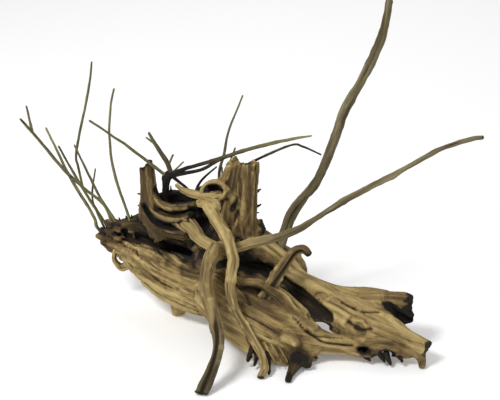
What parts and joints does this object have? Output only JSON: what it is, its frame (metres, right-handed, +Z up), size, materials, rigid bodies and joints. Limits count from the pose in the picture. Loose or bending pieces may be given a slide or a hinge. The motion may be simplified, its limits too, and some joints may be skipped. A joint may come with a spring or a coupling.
{
  "type": "piece of driftwood",
  "caption": "Gnarled driftwood root: a weathered crown with broken lobes, twisted roots it stands on, long bare branches and a spray of fine twigs.",
  "frame": {"origin": "middle of the object's outline seen from above, at the level of the surface it stands on", "axes": "+X along the trunk, from the lobe with the twigs to the end of the long thin branch; -Y towards the side with the twisted roots; +Z up"},
  "size_m": [0.4671, 0.2363, 0.3467],
  "materials": {
    "driftwood": "dry, weathered, matt bare wood"
  },
  "bodies": {
    "root": {"driftwood": "driftwood"}
  },
  "joints": []
}
